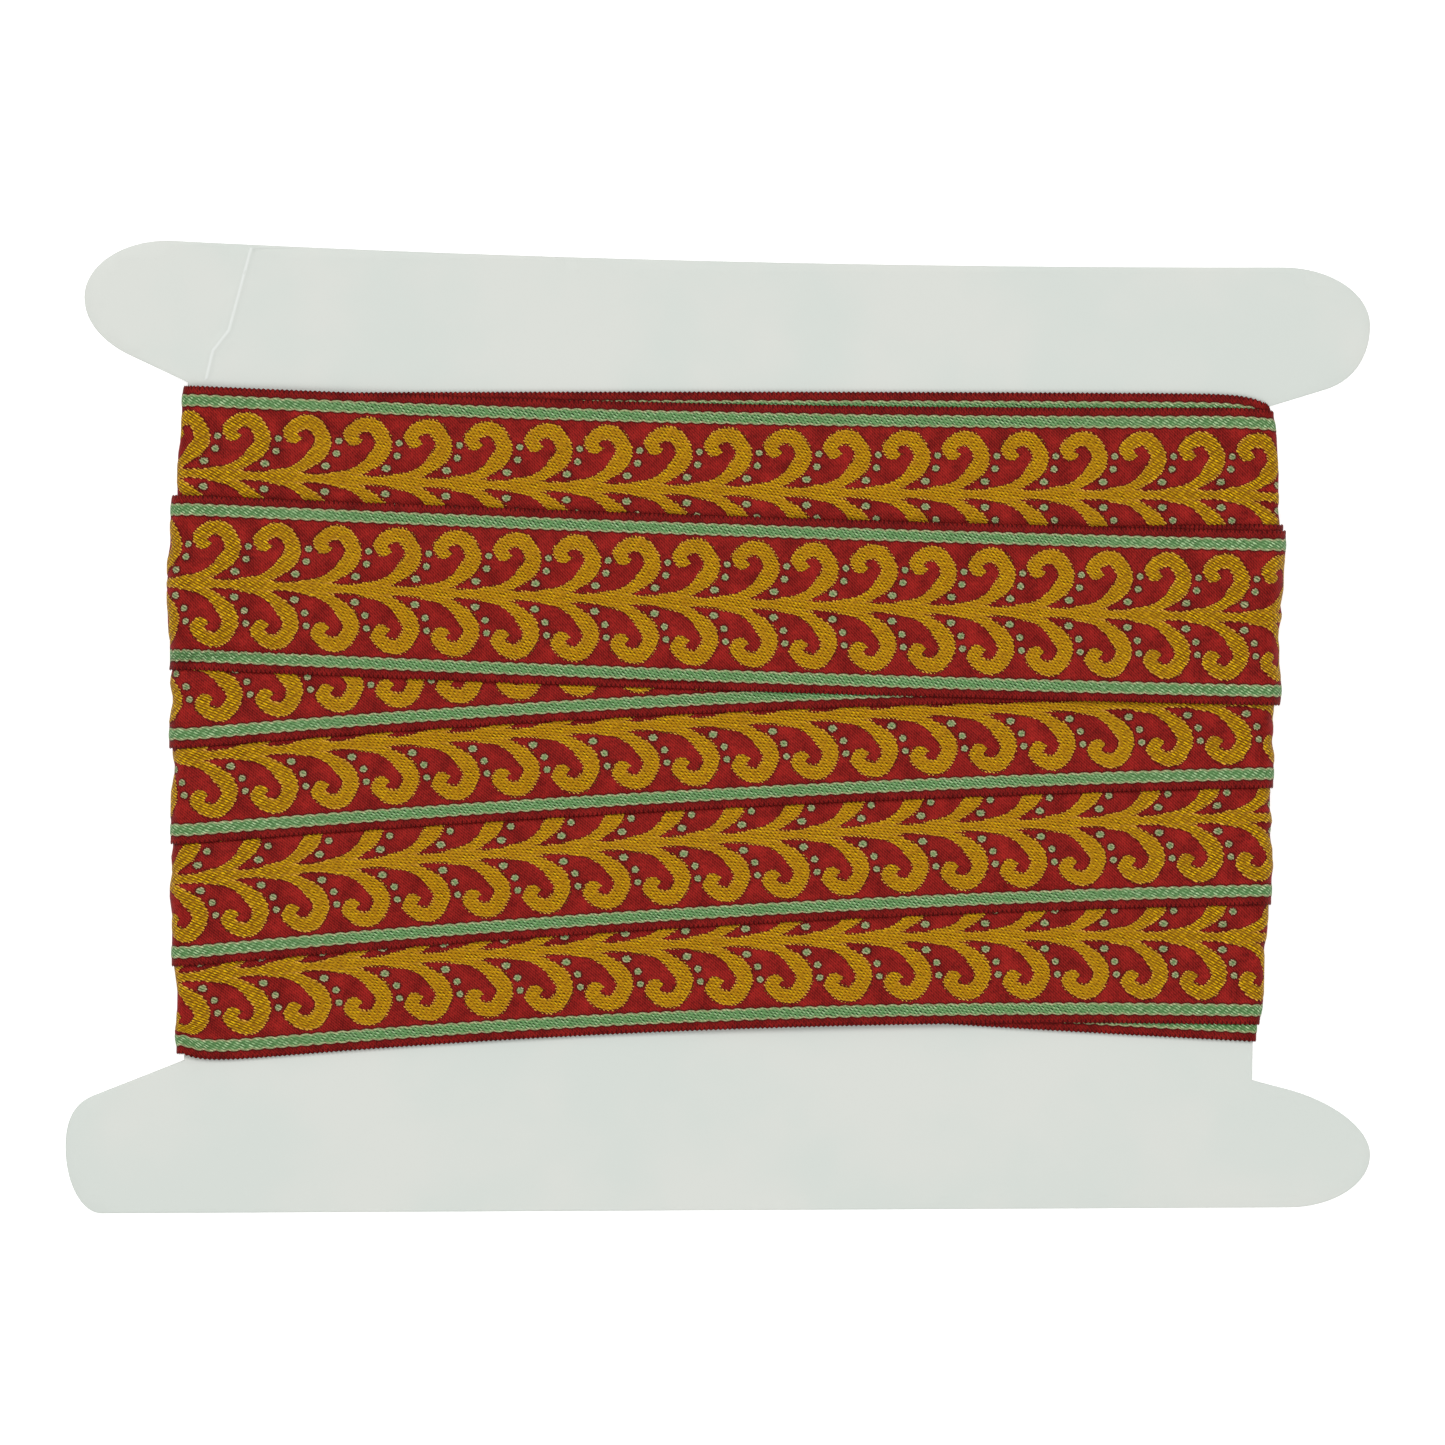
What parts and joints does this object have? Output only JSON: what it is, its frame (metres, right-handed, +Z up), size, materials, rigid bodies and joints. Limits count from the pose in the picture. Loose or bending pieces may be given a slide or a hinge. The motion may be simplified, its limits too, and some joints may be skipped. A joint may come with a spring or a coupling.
{
  "type": "braid trim on a winding card",
  "caption": "Patterned woven braid trim wound flat in slanting, overlapping turns round the waist of a white winding card with four rounded wings, lying on its back.",
  "frame": {"origin": "under the middle of the whole object, on the surface that it lies on", "axes": "+X along the straps, the card's long way; +Y across the straps towards the upper wings; +Z up, out of the front straps"},
  "size_m": [0.1868, 0.1392, 0.0073],
  "materials": {
    "woven_trim": "woven, soft sheen",
    "card_board": "smooth white coating"
  },
  "bodies": {
    "root": {"wound_trim": "woven_trim", "winding_card": "card_board"}
  },
  "joints": []
}
